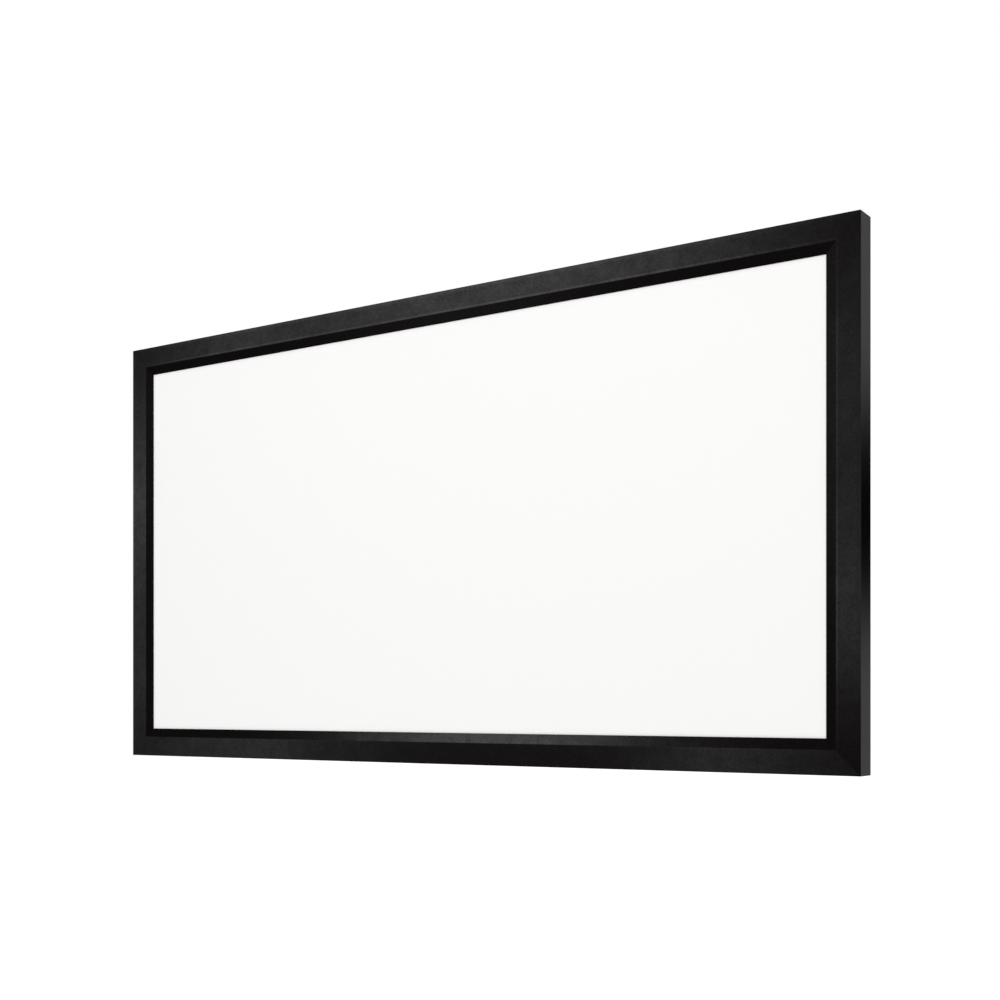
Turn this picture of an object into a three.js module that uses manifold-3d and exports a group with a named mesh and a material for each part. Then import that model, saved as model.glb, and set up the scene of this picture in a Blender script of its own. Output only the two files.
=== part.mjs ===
// Fixed frame projector screen: four mitred aluminium extrusions wrapped in black velvet hold a white
// sheet, which coil springs stretch over the back of a bevelled border. The frame hangs on four hooks.
// Millimetres, +Z up, the front looks along -Y. The origin is the centre of the whole object.
import * as THREE from "three";
import { mergeVertices } from "three/addons/utils/BufferGeometryUtils.js";
import Module from "manifold-3d";

const wasm = await Module();
wasm.setup();

// Picture area and the border round it
const viewWidth = 2100;
const viewHeight = 1050;
const faceWidth = 52.5;
const bevelWidth = 27.5;
const bevelDrop = 6;

// Frame extrusion: a hollow box along the outer edge, a slotted channel behind it and a thin bevelled wing
const frameDepth = 60;
const wall = 1.8;
const outerRadius = 1.2;
const boxSetback = 4.5;
const slotLip = 10;
const ribDrop = 2.75;
const ribReach = 6;
const ribTip = 4;
const ribWall = 1.6;

// Velvet wrap and clearances
const pile = 0.8;
const glueLine = 0.3;
const seatGap = 0.3;
const mitreGap = 0.3;

// Screen sheet, the rods in its sleeves and their springs
const sheetThickness = 0.5;
const rodRadius = 2.5;
const rodOffset = 11;
const rodSetback = 30;
const springPitch = 175;
const springRadius = 3;
const springWire = 1.2;
const springTail = 1;
const springStandoff = 3.5;
const windowMargin = 4;
const eyeMargin = 1.8;

// Corner braces and their set screws
const braceArm = 150;
const braceThickness = 4;
const braceRoom = 2.1;
const setScrewRadius = 2.5;
const setScrewFromEnd = 30;
const setScrewSpacing = 60;
const socketAcross = 2.5;
const socketDepth = 2.5;
const setScrewProud = 0.6;

// Support bar behind the sheet, its tie plates, slot nuts and screws
const barWidth = 30;
const barDepth = 15;
const barWall = 1.5;
const tieThickness = 2.5;
const tieMargin = 14;
const tieCorner = 4;
const nutLength = 24;
const barScrewStart = 17;
const barScrewSpacing = 20;
const screwRadius = 2;
const screwTipRadius = 1.2;
const screwTipLength = 2;
const screwLength = 8;
const headRadius = 4;
const headHeight = 2.2;
const crownRadius = 2.8;
const crownStart = 1.2;
const recessAcross = 3.6;
const recessWidth = 0.9;
const recessDepth = 1.2;

// Wall hooks
const wallClearance = 2.7;
const hookThickness = 2.5;
const hookWidth = 60;
const hookBend = 2;
const tongueClearance = 1.5;
const hookPlate = 50;
const hookInset = 430;
const wallHoleRadius = 2.75;
const wallHoleSpacing = 36;
const wallHoleHeight = 30;

const slope = bevelDrop / bevelWidth;
const border = faceWidth + bevelWidth;
const outerWidth = viewWidth + 2 * border;
const outerHeight = viewHeight + 2 * border;
const wallGap = tieThickness + headHeight + 2 * seatGap + wallClearance;
const overallDepth = frameDepth + wallGap;
const boxWidth = faceWidth - boxSetback;
const slotDepth = braceThickness + seatGap + braceRoom;
const tongueHeight = slotLip - tongueClearance;
const metalFront = pile + glueLine;
const wingEnd = border - metalFront;
const bevelDepthAt = (inward) => slope * Math.max(0, inward - faceWidth);
const wingBack = metalFront + bevelDepthAt(wingEnd) + wall;
const slotFloor = frameDepth - wall - slotDepth;
const channelCentre = boxWidth / 2;
const sheetFront = wingBack + seatGap;
const sleeveInner = rodRadius + seatGap;
const sleeveOuter = sleeveInner + sheetThickness;
const sheetOverlap = rodOffset - rodRadius - springWire - eyeMargin;
const windowWidth = 2 * (springRadius + windowMargin);
const rodInward = border - rodOffset;
const rodDepth = sheetFront + sleeveOuter;
const ribPlace = rodDepth + ribDrop;
const braceBack = frameDepth - wall - seatGap;
const tieFront = frameDepth + seatGap;
const tieBack = tieFront + tieThickness;

// How finely round shapes are drawn: sides of a pin, and steps of a half turn in an outline
const ROUND_SIDES = 12;
const HALF_TURN_STEPS = 4;

// The four sides in clockwise order, seen from the front. Each is drawn as the top one and turned.
const sides = [
  { name: "top", length: outerWidth, reach: outerHeight / 2, view: viewWidth },
  { name: "right", length: outerHeight, reach: outerWidth / 2, view: viewHeight },
  { name: "bottom", length: outerWidth, reach: outerHeight / 2, view: viewWidth },
  { name: "left", length: outerHeight, reach: outerWidth / 2, view: viewHeight },
];

const finishes = {
  velvet: { color: 0x1c1a1b, roughness: 0.95, metalness: 0 },
  aluminium: { color: 0x3b3c3e, roughness: 0.45, metalness: 0.8 },
  sheet: { color: 0xf6f6f4, roughness: 0.9, metalness: 0 },
  springSteel: { color: 0xb9bcc0, roughness: 0.35, metalness: 0.9 },
  zincSteel: { color: 0xa9adb0, roughness: 0.4, metalness: 0.9 },
  blackSteel: { color: 0x222326, roughness: 0.5, metalness: 0.5 },
};

const screen = new THREE.Group();
screen.position.y = -overallDepth / 2;

function addMesh(parent, name, geometry, finish) {
  const mesh = new THREE.Mesh(geometry, new THREE.MeshStandardMaterial(finishes[finish]));
  mesh.name = name;
  parent.add(mesh);
  return mesh;
}

function solid(geometry) {
  const bare = geometry.clone();
  bare.deleteAttribute("normal");
  bare.deleteAttribute("uv");
  const merged = mergeVertices(bare, 1e-4);
  return new wasm.Manifold(
    new wasm.Mesh({
      numProp: 3,
      vertProperties: new Float32Array(merged.attributes.position.array),
      triVerts: new Uint32Array(merged.index.array),
    }),
  );
}

function geometryOf(manifold) {
  const mesh = manifold.getMesh();
  const geometry = new THREE.BufferGeometry();
  geometry.setAttribute("position", new THREE.BufferAttribute(mesh.vertProperties, 3));
  geometry.setIndex(new THREE.BufferAttribute(mesh.triVerts, 1));
  geometry.computeVertexNormals();
  return geometry;
}

function joined(geometries) {
  return geometryOf(geometries.map(solid).reduce((whole, next) => whole.add(next)));
}

function cut(geometry, tools) {
  return geometryOf(tools.map(solid).reduce((whole, tool) => whole.subtract(tool), solid(geometry)));
}

function outline(points) {
  return new THREE.Shape(points.map(([x, y]) => new THREE.Vector2(x, y)));
}

function disc(inward, depth, radius) {
  const shape = new THREE.Shape();
  shape.absarc(inward, depth, radius, 0, 2 * Math.PI);
  return shape;
}

// A section drawn in (distance inward from the outer edge, depth behind the front) runs along a side from
// start to end. With mitre 1 both ends are cut back by that inward distance, which makes 45 degree mitres.
function runAlong(section, reach, start, end, mitre = 0) {
  const geometry = new THREE.ExtrudeGeometry(section, {
    depth: 1,
    bevelEnabled: false,
    curveSegments: HALF_TURN_STEPS,
  });
  const points = geometry.attributes.position;
  for (let i = 0; i < points.count; i++) {
    const inward = points.getX(i);
    const depth = points.getY(i);
    const place = points.getZ(i) < 0.5 ? start + mitre * inward : end - mitre * inward;
    points.setXYZ(i, place, depth, reach - inward);
  }
  geometry.computeVertexNormals();
  return geometry;
}

// An outline drawn in (x, z) becomes a plate from frontDepth to frontDepth + thickness.
function plate(shape, frontDepth, thickness) {
  const geometry = new THREE.ExtrudeGeometry(shape, {
    depth: thickness,
    bevelEnabled: false,
    curveSegments: HALF_TURN_STEPS,
  });
  geometry.rotateX(Math.PI / 2);
  geometry.translate(0, frontDepth + thickness, 0);
  return geometry;
}

// A pin along the depth direction, from frontDepth backwards
function pin(x, z, radius, frontDepth, length, count = ROUND_SIDES) {
  const geometry = new THREE.CylinderGeometry(radius, radius, length, count);
  geometry.translate(x, frontDepth + length / 2, z);
  return geometry;
}

function extrusionSection() {
  const section = new THREE.Shape();
  const inner = boxWidth - wall;
  section.moveTo(outerRadius, metalFront);
  section.lineTo(faceWidth, metalFront);
  section.lineTo(wingEnd, metalFront + bevelDepthAt(wingEnd));
  section.lineTo(wingEnd, wingBack);
  section.lineTo(faceWidth, metalFront + wall);
  section.lineTo(boxWidth, metalFront + wall);
  section.lineTo(boxWidth, ribPlace);
  section.lineTo(boxWidth + ribReach - ribWall, ribPlace);
  section.lineTo(boxWidth + ribReach - ribWall, ribPlace - ribTip);
  section.lineTo(boxWidth + ribReach, ribPlace - ribTip);
  section.lineTo(boxWidth + ribReach, ribPlace + ribWall);
  section.lineTo(boxWidth, ribPlace + ribWall);
  section.lineTo(boxWidth, frameDepth);
  section.lineTo(inner - slotLip, frameDepth);
  section.lineTo(inner - slotLip, frameDepth - wall);
  section.lineTo(inner, frameDepth - wall);
  section.lineTo(inner, slotFloor);
  section.lineTo(wall, slotFloor);
  section.lineTo(wall, frameDepth - wall);
  section.lineTo(wall + slotLip, frameDepth - wall);
  section.lineTo(wall + slotLip, frameDepth);
  section.lineTo(0, frameDepth);
  section.lineTo(0, metalFront + outerRadius);
  section.absarc(outerRadius, metalFront + outerRadius, outerRadius, Math.PI, 1.5 * Math.PI);
  section.holes.push(
    outline([
      [wall, metalFront + wall],
      [wall, slotFloor - wall],
      [inner, slotFloor - wall],
      [inner, metalFront + wall],
    ]),
  );
  return section;
}

// The velvet follows the face and the bevel and turns round the inner edge to the back of the wing.
function velvetSection() {
  const turn = border - pile;
  return outline([
    [0, 0],
    [faceWidth, 0],
    [border, bevelDrop],
    [border, wingBack],
    [turn, wingBack],
    [turn, pile + bevelDepthAt(turn)],
    [faceWidth, pile],
    [0, pile],
  ]);
}

// Springs stand at equal steps along a rod, half a step in from its ends.
function springPlaces(side) {
  const run = side.view - 2 * rodSetback;
  const count = Math.max(2, Math.round(run / springPitch));
  return Array.from({ length: count }, (_, i) => ((i + 0.5) / count - 0.5) * run);
}

// The stretches of sleeve between the windows where the springs reach the rod
function sleeveRuns(side) {
  const half = side.view / 2 - rodSetback;
  const runs = [];
  let from = -half;
  for (const place of springPlaces(side)) {
    runs.push([from, place - windowWidth / 2]);
    from = place + windowWidth / 2;
  }
  runs.push([from, half]);
  return runs;
}

function screenSheet() {
  const edge = [];
  sides.forEach((side, turns) => {
    const low = side.reach - border + sheetOverlap;
    const high = side.reach - rodInward;
    const points = [[-(side.view / 2 + sheetOverlap), low]];
    for (const [from, to] of sleeveRuns(side)) points.push([from, low], [from, high], [to, high], [to, low]);
    const angle = (-turns * Math.PI) / 2;
    for (const [along, out] of points)
      edge.push(new THREE.Vector2(along, out).rotateAround(new THREE.Vector2(), angle));
  });
  const pieces = [plate(new THREE.Shape(edge), sheetFront, sheetThickness)];
  sides.forEach((side, turns) => {
    const sleeve = disc(rodInward, rodDepth, sleeveOuter);
    sleeve.holes.push(new THREE.Path().absarc(rodInward, rodDepth, sleeveInner, 0, 2 * Math.PI));
    for (const [from, to] of sleeveRuns(side)) {
      const run = runAlong(sleeve, side.reach, from, to);
      pieces.push(run.rotateY((turns * Math.PI) / 2));
    }
  });
  return joined(pieces);
}

// Each spring has an eye round the rod, a coil and a flat hook that drops behind the rib of the frame.
function springRod(side) {
  const half = side.view / 2 - rodSetback;
  const coilEnd = rodInward - springStandoff;
  const coilStart = boxWidth + ribReach + springStandoff;
  const tipOuter = boxWidth + ribReach - ribWall;
  const tipFront = ribPlace - ribTip;
  const high = tipFront - seatGap;
  const drop = tipOuter - seatGap;
  const hook = outline([
    [coilStart + springTail, rodDepth - springWire / 2],
    [coilStart + springTail, rodDepth + springWire / 2],
    [coilStart - springTail, rodDepth + springWire / 2],
    [boxWidth + ribReach + seatGap, high],
    [drop, high],
    [drop, tipFront + ribTip / 2],
    [drop - springWire, tipFront + ribTip / 2],
    [drop - springWire, high - springWire],
    [boxWidth + ribReach + seatGap, high - springWire],
  ]);
  const pieces = [runAlong(disc(rodInward, rodDepth, rodRadius), side.reach, -half, half)];
  for (const place of springPlaces(side)) {
    const from = place - springWire / 2;
    const to = place + springWire / 2;
    const length = coilEnd - coilStart;
    const coil = new THREE.CylinderGeometry(springRadius, springRadius, length, 2 * HALF_TURN_STEPS);
    coil.rotateX(Math.PI / 2);
    coil.translate(place, rodDepth, side.reach - (coilStart + coilEnd) / 2);
    pieces.push(runAlong(disc(rodInward, rodDepth, rodRadius + springWire), side.reach, from, to));
    pieces.push(coil, runAlong(hook, side.reach, from, to));
  }
  return joined(pieces);
}

// Places of the set screws along one arm of a corner brace, from the outer corner of the frame
const setScrewPlaces = [0, 1].map((i) => braceArm - setScrewFromEnd - i * setScrewSpacing);

function cornerBrace(side) {
  const near = wall + seatGap;
  const far = boxWidth - wall - seatGap;
  const end = near + braceArm;
  const left = -side.length / 2;
  const corner = [
    [near, near],
    [end, near],
    [end, far],
    [far, far],
    [far, end],
    [near, end],
  ];
  const shape = outline(corner.map(([x, drop]) => [left + x, side.reach - drop]));
  for (const [x, drop] of braceHoles()) {
    const hole = new THREE.Path();
    hole.absarc(left + x, side.reach - drop, setScrewRadius + seatGap, 0, 2 * Math.PI);
    shape.holes.push(hole);
  }
  return plate(shape, braceBack - braceThickness, braceThickness);
}

function braceHoles() {
  const alongTop = setScrewPlaces.map((place) => [place, channelCentre]);
  const downSide = setScrewPlaces.map((place) => [channelCentre, place]);
  return [...alongTop, ...downSide];
}

function setScrew() {
  const front = slotFloor + seatGap;
  const back = braceBack + setScrewProud;
  const body = pin(0, 0, setScrewRadius, front, back - front);
  const socket = pin(0, 0, socketAcross / Math.sqrt(3), back - socketDepth, 2 * socketDepth, 6);
  return cut(body, [socket]);
}

// Pan head screw, its head resting on the tie plate and its point towards the front
function panHeadScrew() {
  const headFront = tieBack + seatGap;
  const profile = [
    [0, headFront - screwLength],
    [screwTipRadius, headFront - screwLength],
    [screwRadius, headFront - screwLength + screwTipLength],
    [screwRadius, headFront],
    [headRadius, headFront],
    [headRadius, headFront + crownStart],
    [crownRadius, headFront + headHeight],
    [0, headFront + headHeight],
  ];
  const body = new THREE.LatheGeometry(
    profile.map(([x, y]) => new THREE.Vector2(x, y)),
    ROUND_SIDES,
  );
  const blades = [0, 1].map((quarter) => {
    const blade = new THREE.BoxGeometry(recessAcross, 2 * recessDepth, recessWidth);
    blade.rotateY((quarter * Math.PI) / 2);
    return blade.translate(0, headFront + headHeight, 0);
  });
  return cut(body, blades);
}

// Places of the two screws in each end of the support bar, from the outer edge of the frame
const barScrewPlaces = [0, 1].map((i) => boxWidth + barScrewStart + i * barScrewSpacing);

function supportBar() {
  const half = outerHeight / 2 - boxWidth - seatGap;
  const front = frameDepth - barDepth;
  const section = outline([
    [-barWidth / 2, front],
    [barWidth / 2, front],
    [barWidth / 2, frameDepth],
    [-barWidth / 2, frameDepth],
  ]);
  const side = barWidth / 2 - barWall;
  section.holes.push(
    outline([
      [-side, front + barWall],
      [-side, frameDepth - barWall],
      [side, frameDepth - barWall],
      [side, front + barWall],
    ]),
  );
  const tube = new THREE.ExtrudeGeometry(section, { depth: 2 * half, bevelEnabled: false });
  tube.translate(0, 0, -half);
  const holes = [];
  for (const end of [-1, 1])
    for (const inward of barScrewPlaces) {
      const z = end * (outerHeight / 2 - inward);
      holes.push(pin(0, z, screwRadius + seatGap, frameDepth - 2 * barWall, 3 * barWall));
    }
  return cut(tube, holes);
}

function roundedRectangle(width, low, high, radius) {
  const half = width / 2;
  const shape = new THREE.Shape();
  shape.absarc(half - radius, low + radius, radius, 1.5 * Math.PI, 2 * Math.PI);
  shape.absarc(half - radius, high - radius, radius, 0, 0.5 * Math.PI);
  shape.absarc(radius - half, high - radius, radius, 0.5 * Math.PI, Math.PI);
  shape.absarc(radius - half, low + radius, radius, Math.PI, 1.5 * Math.PI);
  return shape;
}

function tiePlate(reach) {
  const low = reach - barScrewPlaces[1] - tieMargin;
  const shape = roundedRectangle(barWidth, low, reach - channelCentre + tieMargin, tieCorner);
  for (const inward of [channelCentre, ...barScrewPlaces]) {
    const hole = new THREE.Path();
    hole.absarc(0, reach - inward, screwRadius + seatGap, 0, 2 * Math.PI);
    shape.holes.push(hole);
  }
  return plate(shape, tieFront, tieThickness);
}

function slotNut(reach) {
  const inner = boxWidth - wall - seatGap;
  const shape = outline([
    [-nutLength / 2, reach - inner],
    [nutLength / 2, reach - inner],
    [nutLength / 2, reach - wall - seatGap],
    [-nutLength / 2, reach - wall - seatGap],
  ]);
  const hole = new THREE.Path();
  hole.absarc(0, reach - channelCentre, screwRadius + seatGap, 0, 2 * Math.PI);
  shape.holes.push(hole);
  return plate(shape, braceBack - braceThickness, braceThickness);
}

// A bent steel strip: a plate on the wall, a web through the slot of the frame and a tongue that stands up
// behind the slot's lip. The lip rests on the web, whose top is at height 0. The plate hangs down from the
// web, or stands up from it with direction 1.
function wallHook(direction) {
  const wallFace = frameDepth + wallGap;
  const tongueBack = braceBack;
  const tongueFront = tongueBack - hookThickness;
  const plateFront = wallFace - hookThickness;
  const hook = new THREE.Shape();
  hook.moveTo(tongueBack, tongueHeight);
  hook.lineTo(tongueFront, tongueHeight);
  hook.absarc(tongueFront + hookBend, hookBend - hookThickness, hookBend, Math.PI, 1.5 * Math.PI);
  if (direction > 0) {
    hook.absarc(wallFace - hookBend, hookBend - hookThickness, hookBend, 1.5 * Math.PI, 2 * Math.PI);
    hook.lineTo(wallFace, hookPlate);
    hook.lineTo(plateFront, hookPlate);
    hook.lineTo(plateFront, 0);
  } else {
    hook.lineTo(plateFront, -hookThickness);
    hook.lineTo(plateFront, -hookPlate);
    hook.lineTo(wallFace, -hookPlate);
    hook.absarc(wallFace - hookBend, -hookBend, hookBend, 0, 0.5 * Math.PI);
  }
  hook.lineTo(tongueBack, 0);
  const strip = new THREE.ExtrudeGeometry(hook, {
    depth: hookWidth,
    bevelEnabled: false,
    curveSegments: HALF_TURN_STEPS / 2,
  });
  strip.translate(0, 0, -hookWidth / 2);
  const depthAxis = new THREE.Vector3(0, 1, 0);
  const upAxis = new THREE.Vector3(0, 0, 1);
  const sideAxis = new THREE.Vector3(1, 0, 0);
  strip.applyMatrix4(new THREE.Matrix4().makeBasis(depthAxis, upAxis, sideAxis));
  const holes = [-0.5, 0.5].map((share) =>
    pin(
      share * wallHoleSpacing,
      direction * wallHoleHeight,
      wallHoleRadius,
      plateFront - hookThickness,
      3 * hookThickness,
    ),
  );
  return cut(strip, holes);
}

sides.forEach((side, turns) => {
  const group = new THREE.Group();
  group.rotation.y = (turns * Math.PI) / 2;
  screen.add(group);

  const half = side.length / 2 - mitreGap / Math.SQRT2;
  const member = turns % 2 ? "stile" : "rail";
  const extrusion = runAlong(extrusionSection(), side.reach, -half, half, 1);
  const wrap = runAlong(velvetSection(), side.reach, -half, half, 1);
  addMesh(group, `frame_${member}_${side.name}`, extrusion, "aluminium");
  addMesh(group, `velvet_wrap_${side.name}`, wrap, "velvet");
  addMesh(group, `spring_rod_${side.name}`, springRod(side), "springSteel");

  const corner = ["top_left", "top_right", "bottom_right", "bottom_left"][turns];
  addMesh(group, `corner_brace_${corner}`, cornerBrace(side), "zincSteel");
  braceHoles().forEach(([x, drop], i) => {
    const screw = addMesh(group, `set_screw_${corner}_${i + 1}`, setScrew(), "blackSteel");
    screw.position.set(x - side.length / 2, 0, side.reach - drop);
  });

  if (member === "stile") return;
  addMesh(group, `bar_tie_plate_${side.name}`, tiePlate(side.reach), "zincSteel");
  addMesh(group, `slot_nut_${side.name}`, slotNut(side.reach), "zincSteel");
  [channelCentre, ...barScrewPlaces].forEach((inward, i) => {
    const screw = addMesh(group, `tie_screw_${side.name}_${i + 1}`, panHeadScrew(), "zincSteel");
    screw.position.z = side.reach - inward;
  });
});

addMesh(screen, "screen_sheet", screenSheet(), "sheet");
addMesh(screen, "support_bar", supportBar(), "aluminium");

const hookLevels = [
  { name: "upper", direction: -1, height: outerHeight / 2 - wall - slotLip - seatGap },
  { name: "lower", direction: 1, height: boxWidth - wall - slotLip - seatGap - outerHeight / 2 },
];
for (const level of hookLevels)
  for (const [sideName, sign] of [
    ["left", -1],
    ["right", 1],
  ]) {
    const hook = addMesh(
      screen,
      `wall_hook_${level.name}_${sideName}`,
      wallHook(level.direction),
      "zincSteel",
    );
    hook.position.set(sign * (outerWidth / 2 - hookInset), 0, level.height);
  }

export default screen;
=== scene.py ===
"""Fixed frame projector screen: the finishes, the velvet wraps, the sheet, its rods and its springs.

Metres, +Z up, the white face looks along -Y. A section is drawn in (inward, depth): how far a point
lies inward from the outer edge of the frame, and how far behind the front of the velvet.
"""

import math

import bmesh
import bpy
from mathutils import Matrix, Vector

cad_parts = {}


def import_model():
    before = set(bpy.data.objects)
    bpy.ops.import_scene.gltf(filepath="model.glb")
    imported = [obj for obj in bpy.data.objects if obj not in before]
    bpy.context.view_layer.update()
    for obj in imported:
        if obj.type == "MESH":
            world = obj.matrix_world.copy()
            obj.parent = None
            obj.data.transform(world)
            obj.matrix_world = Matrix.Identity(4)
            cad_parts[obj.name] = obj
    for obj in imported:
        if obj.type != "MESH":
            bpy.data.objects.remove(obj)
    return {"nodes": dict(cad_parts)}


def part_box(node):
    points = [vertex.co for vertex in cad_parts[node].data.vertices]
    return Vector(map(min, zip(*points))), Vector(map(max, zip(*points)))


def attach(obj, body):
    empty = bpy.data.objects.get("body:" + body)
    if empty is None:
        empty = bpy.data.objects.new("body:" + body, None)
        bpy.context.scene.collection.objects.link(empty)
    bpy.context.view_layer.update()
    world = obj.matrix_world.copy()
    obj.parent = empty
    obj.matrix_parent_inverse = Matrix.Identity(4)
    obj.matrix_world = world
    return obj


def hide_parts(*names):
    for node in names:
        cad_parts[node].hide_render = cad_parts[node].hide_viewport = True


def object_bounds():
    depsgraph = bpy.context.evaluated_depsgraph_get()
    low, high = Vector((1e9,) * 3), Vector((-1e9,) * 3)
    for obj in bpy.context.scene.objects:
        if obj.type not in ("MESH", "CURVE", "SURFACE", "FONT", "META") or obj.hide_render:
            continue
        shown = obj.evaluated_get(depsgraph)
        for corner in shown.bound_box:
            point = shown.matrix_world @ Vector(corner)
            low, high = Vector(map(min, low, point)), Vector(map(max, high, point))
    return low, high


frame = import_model()
cad_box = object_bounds()

MM = 0.001

# Border of the frame, its velvet and the clearances
FACE = 52.5 * MM
BEVEL = 27.5 * MM
BEVEL_DROP = 6 * MM
BORDER = FACE + BEVEL
PILE = 0.8 * MM
GLUE = 0.3 * MM
GAP = 0.3 * MM
MITRE_GAP = 0.3 * MM
OUTER_FOLD = 0.5 * MM
MIDDLE_FOLD = 1.6 * MM
INNER_FOLD = 0.6 * MM

# Frame extrusion: its wall, its box and the rib that the springs hook on
WALL = 1.8 * MM
BOX_SETBACK = 4.5 * MM
BOX_WIDTH = FACE - BOX_SETBACK
RIB_REACH = 6 * MM
RIB_WALL = 1.6 * MM
RIB_TIP = 4 * MM
RIB_DROP = 2.75 * MM

# Sheet, the rods in its sleeves and their springs
SHEET_THICKNESS = 0.5 * MM
SHEET_OVERLAP = 5.5 * MM
WELD_BAND = 14 * MM
ROD_RADIUS = 2.5 * MM
ROD_OFFSET = 11 * MM
ROD_SETBACK = 30 * MM
ROD_EDGE = 0.5 * MM
SPRING_PITCH = 175 * MM
WINDOW = 14 * MM
WIRE = 0.5 * MM
WIRE_GAP = 0.2 * MM
COIL_RADIUS = 2.4 * MM
COIL_TURNS = 7
STANDOFF = 3.5 * MM

# Faces that meet at more than this angle keep a sharp edge, and points closer than this are one.
SHARP_ANGLE = math.radians(40)
SAME_PLACE = 1e-6

# Places read from the frame, and those that follow
outer_half_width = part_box("velvet_wrap_right")[1][0]
outer_half_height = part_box("velvet_wrap_top")[1][2]
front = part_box("velvet_wrap_top")[0][1]
slope = BEVEL_DROP / BEVEL
wing_end = BORDER - PILE - GLUE
wing_back = PILE + GLUE + slope * (wing_end - FACE) + WALL
sheet_front = wing_back + GAP
rod_inward = BORDER - ROD_OFFSET
sleeve_radius = ROD_RADIUS + GAP + SHEET_THICKNESS
rod_depth = sheet_front + sleeve_radius
rib_place = rod_depth + RIB_DROP

# Each side: name, quarter turns from the top one, half its outer length, its distance from the centre
SIDES = (
    ("top", 0, outer_half_width, outer_half_height),
    ("right", 1, outer_half_height, outer_half_width),
    ("bottom", 2, outer_half_width, outer_half_height),
    ("left", 3, outer_half_height, outer_half_width),
)


def to_side(turns, reach):
    """From the frame of a side, with z = 0 at the outer edge of the frame, to the object's frame."""
    return Matrix.Rotation(turns * math.pi / 2, 4, "Y") @ Matrix.Translation((0, front, reach))


def new_mesh(name, bm):
    """Makes the bmesh a mesh, and frees the bmesh."""
    mesh = bpy.data.meshes.new(name)
    bm.to_mesh(mesh)
    bm.free()
    return mesh


def new_piece(name, bm, *materials):
    """Makes the bmesh an object that rides with the frame."""
    mesh = new_mesh(name, bm)
    piece = bpy.data.objects.new(name, mesh)
    bpy.context.scene.collection.objects.link(piece)
    for material in materials:
        mesh.materials.append(material)
    mesh.shade_smooth()
    mesh.set_sharp_from_angle(angle=SHARP_ANGLE)
    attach(piece, "root")
    return piece


def move_in(bm, mesh):
    """Adds the mesh to the bmesh, and deletes the mesh."""
    bm.from_mesh(mesh)
    bpy.data.meshes.remove(mesh)


def grown_verts(made):
    """The new vertices of an extrusion."""
    return [g for g in made["geom"] if isinstance(g, bmesh.types.BMVert)]


def linear(colour):
    """An sRGB hex colour as linear red, green, blue and alpha."""
    shares = [int(colour[i : i + 2], 16) / 255 for i in (1, 3, 5)]
    return [s / 12.92 if s <= 0.04045 else ((s + 0.055) / 1.055) ** 2.4 for s in shares] + [1.0]


def feed(tree, node, values, links):
    """Sets values on the inputs of a node, and links others."""
    for key, value in values:
        node.inputs[key].default_value = value
    for key, source in links:
        tree.links.new(source, node.inputs[key])


def add(tree, kind, values=(), links=(), **settings):
    """Adds a node with its settings, input values and links, and returns it."""
    node = tree.nodes.new(kind)
    for key, value in settings.items():
        setattr(node, key, value)
    feed(tree, node, values, links)
    return node


def surface(name):
    """A new node material, its tree and its one Principled shader."""
    material = bpy.data.materials.new(name)
    material.use_nodes = True
    return material, material.node_tree, material.node_tree.nodes["Principled BSDF"]


# Materials

# What mottles the velvet: its size, and how far it spreads the tone to both sides. Real fibres are about
# 0.02 mm thick, and are drawn as coarse as they need to show.
VELVET_MOTTLES = (
    ("fibres", 1.2 * MM, 0.34),
    ("tufts", 5 * MM, 0.32),
    ("handling", 30 * MM, 0.24),
    ("brushing", 150 * MM, 0.16),
)
# How much even pile that lies flat shows its tufts
FLAT_TUFTS = 0.055


def black_flocked_velvet():
    """Black nylon velvet, flocked on a glued backing: a warm near black where shade is painted, a neutral
    dark grey where light is painted, flecked by the tufts and mottled by handling. An attribute of the
    wraps says how much painted light, against painted shade, falls at each place."""
    material, tree, shader = surface("black_flocked_velvet")
    place = add(tree, "ShaderNodeTexCoord").outputs["Object"]
    # The velvet's tone follows painted light and shade, read from an attribute of the wraps.
    share = add(tree, "ShaderNodeAttribute", attribute_name="painted_light_level").outputs["Fac"]
    noises = {}
    factors = {}
    for name, size, spread in VELVET_MOTTLES:
        noise = add(
            tree,
            "ShaderNodeTexNoise",
            [("Scale", 1 / size), ("Detail", 3), ("Roughness", 0.6)],
            [("Vector", place)],
        )
        factor = add(
            tree,
            "ShaderNodeMapRange",
            [("From Min", 0.25), ("From Max", 0.75), ("To Min", 1 - spread), ("To Max", 1 + spread)],
            [("Value", noise.outputs["Fac"])],
            clamp=False,
        )
        noises[name] = noise.outputs["Fac"]
        factors[name] = factor.outputs["Result"]
        product = add(
            tree, "ShaderNodeMath", links=[(0, share), (1, factors[name])], operation="MULTIPLY"
        )
        share = product.outputs[0]
    tone = add(
        tree,
        "ShaderNodeMath",
        [(1, FLAT_TUFTS)],
        [(0, factors["tufts"]), (2, share)],
        operation="MULTIPLY_ADD",
    )
    colour = add(
        tree,
        "ShaderNodeMix",
        [("A", linear("#050102")), ("B", linear("#484848"))],
        [("Factor", tone.outputs[0])],
        data_type="RGBA",
    )
    bump = add(
        tree,
        "ShaderNodeBump",
        [("Strength", 0.35), ("Distance", 0.4 * MM)],
        [("Height", noises["fibres"])],
    )
    feed(
        tree,
        shader,
        [
            ("Roughness", 1.0),
            ("Specular IOR Level", 0.0),
            ("Sheen Weight", 0.008),
            ("Sheen Roughness", 0.4),
        ],
        [("Base Color", colour.outputs["Result"]), ("Normal", bump.outputs["Normal"])],
    )
    return material


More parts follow.
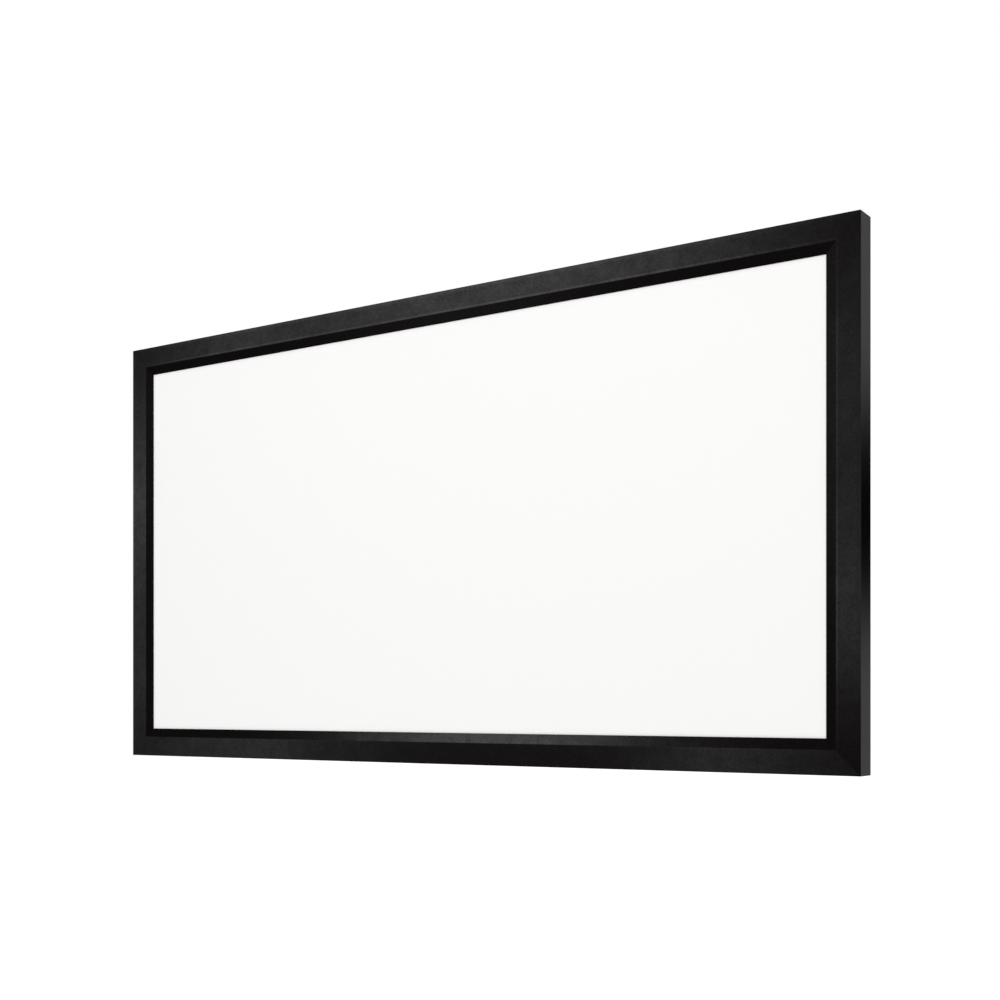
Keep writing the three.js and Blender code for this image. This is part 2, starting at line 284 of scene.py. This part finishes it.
def black_anodised_aluminium():
    """Extruded aluminium, etched and dyed black: a satin metal with fine die lines along each length. Real
    die lines are finer, and are drawn as coarse as they need to show."""
    die_line = 0.9 * MM
    cloud_size = 60 * MM
    # Rails run along x and stiles along z, so the lines are drawn out along both.
    drawn_out = (0.004, 1, 0.004)
    material, tree, shader = surface("black_anodised_aluminium")
    place = add(tree, "ShaderNodeTexCoord").outputs["Object"]
    cloud = add(
        tree, "ShaderNodeTexNoise", [("Scale", 1 / cloud_size), ("Detail", 3)], [("Vector", place)]
    )
    along = add(tree, "ShaderNodeMapping", [("Scale", drawn_out)], [("Vector", place)])
    lines = add(
        tree,
        "ShaderNodeTexNoise",
        [("Scale", 1 / die_line), ("Detail", 2)],
        [("Vector", along.outputs["Vector"])],
    )
    colour = add(
        tree,
        "ShaderNodeMix",
        [("A", linear("#2a2a2a")), ("B", linear("#333333"))],
        [("Factor", cloud.outputs["Fac"])],
        data_type="RGBA",
    )
    rough = add(
        tree,
        "ShaderNodeMapRange",
        [("To Min", 0.2), ("To Max", 0.28)],
        [("Value", lines.outputs["Fac"])],
    )
    bump = add(
        tree,
        "ShaderNodeBump",
        [("Strength", 0.12), ("Distance", 0.05 * MM)],
        [("Height", lines.outputs["Fac"])],
    )
    feed(
        tree,
        shader,
        [("Metallic", 1.0), ("Specular Tint", linear("#c9c9c9"))],
        [
            ("Base Color", colour.outputs["Result"]),
            ("Roughness", rough.outputs["Result"]),
            ("Normal", bump.outputs["Normal"]),
        ],
    )
    return material


def white_projection_vinyl():
    """Cast PVC projection sheet: matt white with a very fine even grain that scatters the light. The real
    grain is about 0.1 mm, and is drawn as coarse as it needs to show."""
    grain = 0.8 * MM
    material, tree, shader = surface("white_projection_vinyl")
    place = add(tree, "ShaderNodeTexCoord").outputs["Object"]
    fine = add(
        tree, "ShaderNodeTexNoise", [("Scale", 1 / grain), ("Detail", 2)], [("Vector", place)]
    )
    colour = add(
        tree,
        "ShaderNodeMix",
        [("A", linear("#fbfbfa")), ("B", linear("#fdfdfc"))],
        [("Factor", fine.outputs["Fac"])],
        data_type="RGBA",
    )
    bump = add(
        tree,
        "ShaderNodeBump",
        [("Strength", 0.15), ("Distance", 0.05 * MM)],
        [("Height", fine.outputs["Fac"])],
    )
    feed(
        tree,
        shader,
        [("Roughness", 0.85), ("Specular IOR Level", 0.3)],
        [("Base Color", colour.outputs["Result"]), ("Normal", bump.outputs["Normal"])],
    )
    return material


def black_backing_vinyl():
    """The black coat on the back of the sheet: calendered PVC over a knitted scrim, whose threads print
    through as a faint grid."""
    thread = 2.5 * MM
    cloud_size = 90 * MM
    material, tree, shader = surface("black_backing_vinyl")
    place = add(tree, "ShaderNodeTexCoord").outputs["Object"]
    apart = add(tree, "ShaderNodeSeparateXYZ", links=[("Vector", place)])
    waves = []
    for axis in ("X", "Z"):
        turns = add(
            tree,
            "ShaderNodeMath",
            [(1, 2 * math.pi / thread)],
            [(0, apart.outputs[axis])],
            operation="MULTIPLY",
        )
        waves.append(add(tree, "ShaderNodeMath", links=[(0, turns.outputs[0])], operation="SINE"))
    weave = add(
        tree,
        "ShaderNodeMath",
        links=[(0, waves[0].outputs[0]), (1, waves[1].outputs[0])],
        operation="MAXIMUM",
    )
    cloud = add(
        tree, "ShaderNodeTexNoise", [("Scale", 1 / cloud_size), ("Detail", 4)], [("Vector", place)]
    )
    colour = add(
        tree,
        "ShaderNodeMix",
        [("A", linear("#181818")), ("B", linear("#232323"))],
        [("Factor", cloud.outputs["Fac"])],
        data_type="RGBA",
    )
    bump = add(
        tree,
        "ShaderNodeBump",
        [("Strength", 0.25), ("Distance", 0.08 * MM)],
        [("Height", weave.outputs[0])],
    )
    feed(
        tree,
        shader,
        [("Roughness", 0.7), ("Specular IOR Level", 0.3)],
        [("Base Color", colour.outputs["Result"]), ("Normal", bump.outputs["Normal"])],
    )
    return material


def plated_steel(name, dark, light, rough_low, rough_high, blotch):
    """A plated steel: metal whose coat varies a little in tone and roughness from place to place, over the
    grain of rolled or drawn steel. The real grain is finer, and is drawn as coarse as it needs to show."""
    grain = 0.7 * MM
    material, tree, shader = surface(name)
    place = add(tree, "ShaderNodeTexCoord").outputs["Object"]
    cloud = add(
        tree,
        "ShaderNodeTexNoise",
        [("Scale", 1 / blotch), ("Detail", 5), ("Roughness", 0.6)],
        [("Vector", place)],
    )
    colour = add(
        tree,
        "ShaderNodeMix",
        [("A", linear(dark)), ("B", linear(light))],
        [("Factor", cloud.outputs["Fac"])],
        data_type="RGBA",
    )
    rough = add(
        tree,
        "ShaderNodeMapRange",
        [("To Min", rough_low), ("To Max", rough_high)],
        [("Value", cloud.outputs["Fac"])],
    )
    fine = add(
        tree, "ShaderNodeTexNoise", [("Scale", 1 / grain), ("Detail", 2)], [("Vector", place)]
    )
    bump = add(
        tree,
        "ShaderNodeBump",
        [("Strength", 0.15), ("Distance", 0.03 * MM)],
        [("Height", fine.outputs["Fac"])],
    )
    feed(
        tree,
        shader,
        [("Metallic", 1.0)],
        [
            ("Base Color", colour.outputs["Result"]),
            ("Roughness", rough.outputs["Result"]),
            ("Normal", bump.outputs["Normal"]),
        ],
    )
    return material


def pultruded_fibreglass():
    """A pulled glass fibre rod: pale, slightly green and fairly glossy, with a fibrous skin. Real fibres
    are finer, and are drawn as coarse as they need to show."""
    fibre = 0.6 * MM
    material, tree, shader = surface("pultruded_fibreglass")
    place = add(tree, "ShaderNodeTexCoord").outputs["Object"]
    fibres = add(
        tree, "ShaderNodeTexNoise", [("Scale", 1 / fibre), ("Detail", 2)], [("Vector", place)]
    )
    colour = add(
        tree,
        "ShaderNodeMix",
        [("A", linear("#c9cbb8")), ("B", linear("#dcdccd"))],
        [("Factor", fibres.outputs["Fac"])],
        data_type="RGBA",
    )
    rough = add(
        tree,
        "ShaderNodeMapRange",
        [("To Min", 0.28), ("To Max", 0.42)],
        [("Value", fibres.outputs["Fac"])],
    )
    bump = add(
        tree,
        "ShaderNodeBump",
        [("Strength", 0.2), ("Distance", 0.05 * MM)],
        [("Height", fibres.outputs["Fac"])],
    )
    feed(
        tree,
        shader,
        (),
        [
            ("Base Color", colour.outputs["Result"]),
            ("Roughness", rough.outputs["Result"]),
            ("Normal", bump.outputs["Normal"]),
        ],
    )
    return material


VELVET = black_flocked_velvet()
ANODISED = black_anodised_aluminium()
WHITE_VINYL = white_projection_vinyl()
BLACK_VINYL = black_backing_vinyl()
FIBREGLASS = pultruded_fibreglass()
# Zinc plate passivated clear: a pale bluish grey with soft blotches
ZINC = plated_steel("zinc_plated_steel", "#9a9fa4", "#b9bdc0", 0.28, 0.42, 14 * MM)
# Heat blackened screws: nearly black, with an oily satin gloss
BLACK_OXIDE = plated_steel("black_oxide_steel", "#1e1f21", "#2c2d2f", 0.3, 0.45, 4 * MM)
# Drawn spring wire: bright and smooth
SPRING_WIRE = plated_steel("bright_drawn_spring_wire", "#b4b7ba", "#cccfd1", 0.18, 0.28, 6 * MM)

# Velvet wraps

# Painted light along each side, as from a lamp above the middle of the screen: a base level, then
# stretches as (centre, half width, lift) in metres and in shares of full painted light. Centres are world x
# on the rails and world z on the stiles.
PAINTED_LIGHT_ON_FACE = {
    "top": (0.0, ((0.5, 0.45, 0.45), (0.0, 0.35, 0.4), (-0.65, 0.4, 0.4))),
    "right": (0.0, ((0.2, 0.35, 0.2), (-0.25, 0.2, 0.25))),
    "bottom": (0.05, ((0.8, 0.2, 0.2), (-0.7, 0.4, 0.25))),
    "left": (0.1, ((0.15, 0.3, 0.4), (-0.35, 0.2, 0.15))),
}
# The bevels are painted in shade, except for a painted pool of light along the middle of the bottom one.
PAINTED_LIGHT_ON_BEVEL = {
    "top": (0.0, ((0.1, 0.4, 0.05),)),
    "right": (0.0, ((0.25, 0.4, 0.1),)),
    "bottom": (0.0, ((0.15, 0.4, 0.85),)),
    "left": (0.0, ((0.3, 0.3, 0.035),)),
}

# How much more painted light than beside them the velvet gets on the middle fold, as a painted highlight,
# and along the outer edge
FOLD_HIGHLIGHT = {"top": 0.6, "right": 0.55, "bottom": 0.1, "left": 0.05}
OUTER_LIFT = {"top": 0.35, "right": -0.1, "bottom": 0.0, "left": 0.2}
FOLD_BAND = 2.2 * MM
OUTER_BAND = 8 * MM

# Each wrap is sliced along its length and at these places across it, to carry painted light and shade.
VELVET_SLICES = 60
EXTRA_LOOPS = (6 * MM, 12 * MM, FACE - 4 * MM, FACE - FOLD_BAND, FACE + FOLD_BAND, FACE + 4 * MM)


def painted_light_level(side, along, inward):
    """How much painted light, against painted shade, falls on a place on a side, from 0 to 1."""
    base, stretches = (PAINTED_LIGHT_ON_BEVEL if inward > FACE + FOLD_BAND else PAINTED_LIGHT_ON_FACE)[side]
    level = base + sum(lift * math.exp(-(((along - c) / half) ** 2)) for c, half, lift in stretches)
    # A painted highlight along the middle fold, and a change of painted light along the outer edge.
    if abs(inward - FACE) < FOLD_BAND:
        level *= 1 + FOLD_HIGHLIGHT[side]
    if inward < OUTER_BAND:
        level *= 1 + OUTER_LIFT[side]
    return level


def velvet_section():
    """The section of a wrap: over the face, down the bevel and over the inner edge of the frame."""
    turn = BORDER - PILE
    return [
        (0, 0),
        (FACE, 0),
        (BORDER, BEVEL_DROP),
        (BORDER, wing_back),
        (turn, wing_back),
        (turn, PILE + slope * (turn - FACE)),
        (FACE, PILE),
        (0, PILE),
    ]


def lengthwise(bm):
    """The edges along a strip that is still 1 m long."""
    return [e for e in bm.edges if abs(e.verts[0].co.x - e.verts[1].co.x) > 0.5]


def velvet_wrap(name, turns, half, reach):
    """A side's velvet strip, mitred at both ends, with soft folds and an attribute of painted light and
    shade.
    """
    bm = bmesh.new()
    section = [bm.verts.new((0, depth, -inward)) for inward, depth in velvet_section()]
    made = bmesh.ops.extrude_face_region(bm, geom=[bm.faces.new(section)])
    bmesh.ops.translate(bm, verts=grown_verts(made), vec=(1, 0, 0))
    folds = ((0, 0, OUTER_FOLD), (FACE, 0, MIDDLE_FOLD), (BORDER, BEVEL_DROP, INNER_FOLD))
    for inward, depth, radius in folds:
        line = (depth, -inward)
        fold = [e for e in lengthwise(bm) if math.dist(e.verts[0].co.yz, line) < SAME_PLACE]
        bmesh.ops.bevel(
            bm, geom=fold, offset=radius, segments=3, profile=0.5, affect="EDGES", material=-1
        )
    for inward in EXTRA_LOOPS:
        everything = [*bm.verts, *bm.edges, *bm.faces]
        bmesh.ops.bisect_plane(bm, geom=everything, plane_co=(0, 0, -inward), plane_no=(0, 0, 1))
    bmesh.ops.subdivide_edges(bm, edges=lengthwise(bm), cuts=VELVET_SLICES)
    # The strip is stretched to the side's length and sheared, so that both ends are 45 degree mitres. Its x
    # runs against world x on the bottom rail, and against world z on the right stile.
    length = half - MITRE_GAP / math.sqrt(2)
    layer = bm.verts.layers.float.new("painted_light_level")
    sign = 1 if turns in (0, 3) else -1
    for vert in bm.verts:
        vert.co.x = (2 * vert.co.x - 1) * (length + vert.co.z)
        # Each vertex carries the painted light and shade of its place.
        vert[layer] = painted_light_level(name, sign * vert.co.x, -vert.co.z)
    bmesh.ops.transform(bm, matrix=to_side(turns, reach), verts=bm.verts)
    bmesh.ops.recalc_face_normals(bm, faces=bm.faces)
    wrap = new_piece(f"velvet_{name}", bm, VELVET)
    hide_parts(f"velvet_wrap_{name}")


for name, turns, half, reach in SIDES:
    velvet_wrap(name, turns, half, reach)

# Sheet, rods and springs


def rod_half(half):
    """Half the length of the rod on a side of this half length."""
    return half - BORDER - ROD_SETBACK


def spring_places(half):
    """Springs stand at equal steps along a rod, half a step in from its ends."""
    run = 2 * rod_half(half)
    count = max(2, round(run / SPRING_PITCH))
    return [((i + 0.5) / count - 0.5) * run for i in range(count)]


def sleeve_runs(half):
    """The stretches of sleeve between the windows where the springs reach the rod."""
    edges = [-rod_half(half)]
    for place in spring_places(half):
        edges += [place - WINDOW / 2, place + WINDOW / 2]
    edges.append(rod_half(half))
    return list(zip(edges[::2], edges[1::2]))


def arc(centre, radius, start, end, steps):
    """Points of an arc in (inward, depth), with angles in degrees from the inward direction."""
    angles = [math.radians(start + (end - start) * i / steps) for i in range(steps + 1)]
    return [(centre[0] + radius * math.cos(a), centre[1] + radius * math.sin(a)) for a in angles]


def sleeve_path(inset):
    """The sheet's edge in section, this far inside its outer surface: out along the front, round the rod
    and back to a band that is welded to the back of the sheet."""
    band = sheet_front + 2 * SHEET_THICKNESS - inset
    turn = rod_inward + 2 * sleeve_radius
    return [
        (BORDER - SHEET_OVERLAP, sheet_front + inset),
        *arc((rod_inward, rod_depth), sleeve_radius - inset, start=-90, end=-300, steps=10),
        (turn, band),
        (turn + WELD_BAND, band),
    ]


def flat_sheet(half_x, half_z):
    """The stretched middle of the sheet as a bmesh, white in front and black behind."""
    bm = bmesh.new()
    bmesh.ops.create_grid(bm, x_segments=24, y_segments=12, size=1)
    upright = Matrix.Translation((0, front + sheet_front, 0)) @ Matrix.Rotation(math.pi / 2, 4, "X")
    size = Matrix.Diagonal((half_x, half_z, 1, 1))
    bmesh.ops.transform(bm, matrix=upright @ size, verts=bm.verts)
    bmesh.ops.solidify(bm, geom=bm.faces, thickness=SHEET_THICKNESS)
    bmesh.ops.recalc_face_normals(bm, faces=bm.faces)
    for face in bm.faces:
        face.material_index = 1 if face.normal.y > 0.5 else 0
    return bm


def sleeve(turns, reach, start, end):
    """One stretch of sleeve on a side as a mesh, from the edge of the flat sheet to its welded band."""
    bm = bmesh.new()
    line = [bm.verts.new((start, depth, -inward)) for inward, depth in sleeve_path(0)]
    edges = [bm.edges.new(pair) for pair in zip(line, line[1:])]
    made = bmesh.ops.extrude_edge_only(bm, edges=edges)
    bmesh.ops.translate(bm, verts=grown_verts(made), vec=(end - start, 0, 0))
    # The path is the outer surface, so its faces have to point outwards before the wall gets its thickness.
    bm.normal_update()
    front_face = min(bm.faces, key=lambda face: face.calc_center_median().y)
    if front_face.normal.y > 0:
        bmesh.ops.reverse_faces(bm, faces=bm.faces)
    bmesh.ops.solidify(bm, geom=bm.faces, thickness=SHEET_THICKNESS)
    bmesh.ops.transform(bm, matrix=to_side(turns, reach), verts=bm.verts)
    return new_mesh("sleeve", bm)


def projection_sheet():
    """The white sheet with its black back, its edges folded round the rods and welded in bands."""
    half_x = outer_half_width - BORDER + SHEET_OVERLAP
    half_z = outer_half_height - BORDER + SHEET_OVERLAP
    bm = flat_sheet(half_x, half_z)
    for _, turns, half, reach in SIDES:
        for start, end in sleeve_runs(half):
            move_in(bm, sleeve(turns, reach, start, end))
    sheet = new_piece("projection_sheet", bm, WHITE_VINYL, BLACK_VINYL)
    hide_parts("screen_sheet")
    runs = sleeve_runs(outer_half_width) + sleeve_runs(outer_half_height)


def bend_wire(name, points, radius, sides):
    """A round wire along a line of points as a mesh, closed at both ends. Its ring turns with the line and
    doesn't twist."""
    ring_axis = Vector((0, 0, 1))
    bm = bmesh.new()
    turned = (points[1] - points[0]).to_track_quat("Z", "X")
    here = Matrix.LocRotScale(points[0], turned, None)
    bmesh.ops.create_circle(bm, segments=sides, radius=radius, matrix=here, cap_ends=True)
    ring = bm.edges[:]
    for i in range(1, len(points)):
        last = here
        ahead = points[min(i + 1, len(points) - 1)] - points[i - 1]
        turned = (turned @ ring_axis).rotation_difference(ahead) @ turned
        here = Matrix.LocRotScale(points[i], turned, None)
        made = bmesh.ops.extrude_edge_only(bm, edges=ring)
        verts = grown_verts(made)
        ring = [g for g in made["geom"] if isinstance(g, bmesh.types.BMEdge)]
        ring = [e for e in ring if all(v in verts for v in e.verts)]
        bmesh.ops.transform(bm, matrix=here @ last.inverted(), verts=verts)
    bmesh.ops.edgenet_fill(bm, edges=ring)
    bmesh.ops.recalc_face_normals(bm, faces=bm.faces)
    return new_mesh(name, bm)


def coil_spring():
    """One extension spring at place 0 of a side: a hook behind the rib, a close coil and an eye round
    the rod, all one wire."""
    hook_bend = 1.0 * MM
    # How far before the coil its straight lead starts and ends
    lead_start = 1.6 * MM
    lead_end = 0.6 * MM
    turn_steps = 12
    rib_end = BOX_WIDTH + RIB_REACH
    start = rib_end + STANDOFF
    end = rod_inward - STANDOFF
    tip_front = rib_place - RIB_TIP
    over = tip_front - WIRE - WIRE_GAP
    behind = rib_end - RIB_WALL - WIRE - WIRE_GAP
    hook = [
        (0, tip_front + RIB_TIP / 2, behind),
        (0, tip_front + GAP, behind),
        (0, over + hook_bend / 4, behind + hook_bend / 4),
        (0, over, behind + hook_bend),
        (0, over, rib_end + 2 * WIRE_GAP),
        (0, (over + rod_depth) / 2, start - lead_start),
        (0, rod_depth, start - lead_end),
    ]
    coil = []
    for i in range(COIL_TURNS * turn_steps + 1):
        angle = 2 * math.pi * i / turn_steps
        place = start + (end - start) * i / (COIL_TURNS * turn_steps)
        coil.append((COIL_RADIUS * math.cos(angle), rod_depth + COIL_RADIUS * math.sin(angle), place))
    eye_radius = ROD_RADIUS + WIRE + WIRE_GAP / 2
    eye = [(0, rod_depth + WIRE_GAP, end + 2 * WIRE_GAP)]
    for inward, depth in arc((rod_inward, rod_depth), eye_radius, start=150, end=-130, steps=12):
        eye.append((0, depth, inward))
    points = [Vector((x, depth, -inward)) for x, depth, inward in hook + coil + eye]
    return bend_wire("coil_spring", points, radius=WIRE, sides=6)


def fibreglass_rod(name, turns, half, reach):
    """The rod in the sleeves of one side, with the rims of its ends rounded off."""
    bm = bmesh.new()
    lay = Matrix.Translation((0, rod_depth, -rod_inward)) @ Matrix.Rotation(math.pi / 2, 4, "Y")
    bmesh.ops.create_cone(
        bm,
        cap_ends=True,
        segments=20,
        radius1=ROD_RADIUS,
        radius2=ROD_RADIUS,
        depth=2 * rod_half(half),
        matrix=to_side(turns, reach) @ lay,
    )
    # Only the end caps have more than four corners.
    rims = [e for e in bm.edges if any(len(f.verts) > 4 for f in e.link_faces)]
    bmesh.ops.bevel(
        bm, geom=rims, offset=ROD_EDGE, segments=2, profile=0.5, affect="EDGES", material=-1
    )
    rod = new_piece(f"fibreglass_rod_{name}", bm, FIBREGLASS)
    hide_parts(f"spring_rod_{name}")


def side_springs(name, turns, half, reach, spring):
    """All springs of one side as one piece, from copies of the spring's mesh."""
    bm = bmesh.new()
    for place in spring_places(half):
        copy = spring.copy()
        copy.transform(to_side(turns, reach) @ Matrix.Translation((place, 0, 0)))
        move_in(bm, copy)
    springs = new_piece(f"springs_{name}", bm, SPRING_WIRE)


projection_sheet()
spring = coil_spring()
for name, turns, half, reach in SIDES:
    fibreglass_rod(name, turns, half, reach)
    side_springs(name, turns, half, reach, spring)
bpy.data.meshes.remove(spring)

# Metal pieces of the frame: how their names start, their finish and the width of their worn edges
NODE_FINISHES = (
    ("frame_", ANODISED, 0.35 * MM),
    ("support_bar", ANODISED, 0.35 * MM),
    ("corner_brace_", ZINC, 0.25 * MM),
    ("bar_tie_plate_", ZINC, 0.3 * MM),
    ("slot_nut_", ZINC, 0.3 * MM),
    ("tie_screw_", ZINC, 0.15 * MM),
    ("wall_hook_", ZINC, 0.3 * MM),
    ("set_screw_", BLACK_OXIDE, 0.15 * MM),
)


def finish_node(node, finish, edge):
    """Gives a node of the frame its material, and small rounded edges."""
    node.data.materials.clear()
    node.data.materials.append(finish)
    weld = node.modifiers.new("weld", "WELD")
    weld.merge_threshold = SAME_PLACE
    bevel = node.modifiers.new("worn_edges", "BEVEL")
    bevel.width = edge
    bevel.segments = 2
    bevel.limit_method = "ANGLE"
    bevel.angle_limit = SHARP_ANGLE


for node_name, node in frame["nodes"].items():
    for start, finish, edge in NODE_FINISHES:
        if node_name.startswith(start):
            finish_node(node, finish, edge)

# Stage: a pale floor well below the screen, how much of its white is its own glow, and an even light
FLOOR_DROP = 1.5
FLOOR_SIZE = 60
FLOOR_LIFT = 0.5
AMBIENT = 0.7

# The board that the bare side of the frame mirrors, and the height and half width of its dark band
BOARD_PLACE = (2.6, 2.8, 0.6)
BOARD_WIDTH = 3.6
BOARD_HEIGHT = 4
BAND_HEIGHT = 0.33
BAND_HALF = 0.49

# Camera, fitted to the corners of the frame in the photo: how far it stands to the right, away from the
# front and below the middle, its turn to the left, and its lens and sensor in millimetres
CAMERA_RIGHT = 2.259
CAMERA_AWAY = 3.029
CAMERA_DROP = 0.4446
CAMERA_TURN = math.radians(34.21)
CAMERA_LENS = 52.99
CAMERA_SHIFT = 0.2014
SENSOR_WIDTH = 36


def stage_sheet(name, width, height, matrix, material):
    """A flat stage piece, drawn about its own middle and then set in place by the matrix."""
    bm = bmesh.new()
    size = Matrix.Diagonal((width / 2, height / 2, 1, 1))
    bmesh.ops.create_grid(bm, x_segments=1, y_segments=1, size=1, matrix=matrix @ size)
    mesh = new_mesh(name, bm)
    mesh.materials.append(material)
    sheet = bpy.data.objects.new(name, mesh)
    bpy.context.scene.collection.objects.link(sheet)
    return sheet


def in_sight(tree):
    """1 for rays from the camera, off gloss and through glass, and 0 for all others."""
    path = add(tree, "ShaderNodeLightPath")
    sight = path.outputs["Is Camera Ray"]
    for ray in ("Is Glossy Ray", "Is Transmission Ray"):
        either = add(
            tree, "ShaderNodeMath", links=[(0, sight), (1, path.outputs[ray])], operation="MAXIMUM"
        )
        sight = either.outputs[0]
    return sight


def floor():
    """A matt white floor. What the camera and reflections see of it is lifted to the white background, and
    the shadow of the screen stays."""
    low = cad_box[0][2] - FLOOR_DROP
    material, tree, shader = surface("matt_white_floor_paint")
    lift = add(
        tree, "ShaderNodeMath", [(1, FLOOR_LIFT)], [(0, in_sight(tree))], operation="MULTIPLY"
    )
    feed(
        tree,
        shader,
        [
            ("Base Color", linear("#f2f2f2")),
            ("Roughness", 0.9),
            ("Specular IOR Level", 0.0),
            ("Emission Color", linear("#ffffff")),
        ],
        [("Emission Strength", lift.outputs[0])],
    )
    stage_sheet("floor", FLOOR_SIZE, FLOOR_SIZE, Matrix.Translation((0, 0, low)), material)


def reflector():
    """A tall white board behind the screen to its right, with a soft dark band across it, seen only in
    reflections. The bare side of the frame mirrors it: grey at both ends and nearly black in between."""
    material, tree, shader = surface("banded_reflector_board")
    place = add(tree, "ShaderNodeTexCoord").outputs["Object"]
    away = add(tree, "ShaderNodeSeparateXYZ", links=[("Vector", place)]).outputs["Z"]
    for operation, value in (("SUBTRACT", BAND_HEIGHT), ("DIVIDE", BAND_HALF)):
        step = add(tree, "ShaderNodeMath", [(1, value)], [(0, away)], operation=operation)
        away = step.outputs[0]
    # The band is exp(-distance ** 4), whose high power keeps its middle evenly dark.
    for _ in range(2):
        square = add(tree, "ShaderNodeMath", links=[(0, away), (1, away)], operation="MULTIPLY")
        away = square.outputs[0]
    band = add(tree, "ShaderNodeMath", [(0, math.exp(-1))], [(1, away)], operation="POWER")
    level = add(
        tree, "ShaderNodeMapRange", [("To Min", 1.0), ("To Max", 0.0)], [("Value", band.outputs[0])]
    )
    glow = add(tree, "ShaderNodeEmission", links=[("Strength", level.outputs["Result"])])
    feed(tree, tree.nodes["Material Output"], (), [("Surface", glow.outputs["Emission"])])
    tree.nodes.remove(shader)
    stand = Matrix.Translation(BOARD_PLACE) @ Matrix.Rotation(math.pi / 2, 4, "X")
    board = stage_sheet("reflector_board", BOARD_WIDTH, BOARD_HEIGHT, stand, material)
    for kind in ("camera", "diffuse", "transmission", "volume_scatter", "shadow"):
        setattr(board, f"visible_{kind}", False)


def world():
    """White where the camera or a reflection sees it, and a soft even light for everything else."""
    sky = bpy.data.worlds.new("studio")
    sky.use_nodes = True
    tree = sky.node_tree
    level = add(
        tree,
        "ShaderNodeMapRange",
        [("To Min", AMBIENT), ("To Max", 1.0)],
        [("Value", in_sight(tree))],
    )
    white = linear("#ffffff")
    feed(tree, tree.nodes["Background"], [("Color", white)], [("Strength", level.outputs["Result"])])
    bpy.context.scene.world = sky


def softbox(name, place, target, size, watts):
    """A rectangular studio lamp that points at the target."""
    lamp = bpy.data.lights.new(name, "AREA")
    lamp.shape = "RECTANGLE"
    lamp.size, lamp.size_y = size
    lamp.energy = watts
    holder = bpy.data.objects.new(name, lamp)
    holder.location = place
    holder.rotation_euler = (Vector(target) - Vector(place)).to_track_quat("-Z", "Y").to_euler()
    bpy.context.scene.collection.objects.link(holder)


def camera():
    """To the right of the screen and turned to the left, level, with the lens shifted up."""
    lens = bpy.data.cameras.new("camera")
    lens.sensor_width = SENSOR_WIDTH
    lens.lens = CAMERA_LENS
    lens.shift_y = CAMERA_SHIFT
    holder = bpy.data.objects.new("camera", lens)
    holder.location = (CAMERA_RIGHT, front - CAMERA_AWAY, -CAMERA_DROP)
    holder.rotation_euler = (math.pi / 2, 0, CAMERA_TURN)
    bpy.context.scene.collection.objects.link(holder)
    bpy.context.scene.camera = holder


floor()
reflector()
world()
softbox("key", place=(0.5, -4.6, 1.9), target=(0, 0, -0.1), size=(3.6, 2.4), watts=78)
softbox("back", place=(-1.5, 3.5, 2.4), target=(0, 0, 0), size=(2.5, 2.0), watts=60)
camera()
bpy.context.scene.view_settings.view_transform = "Standard"
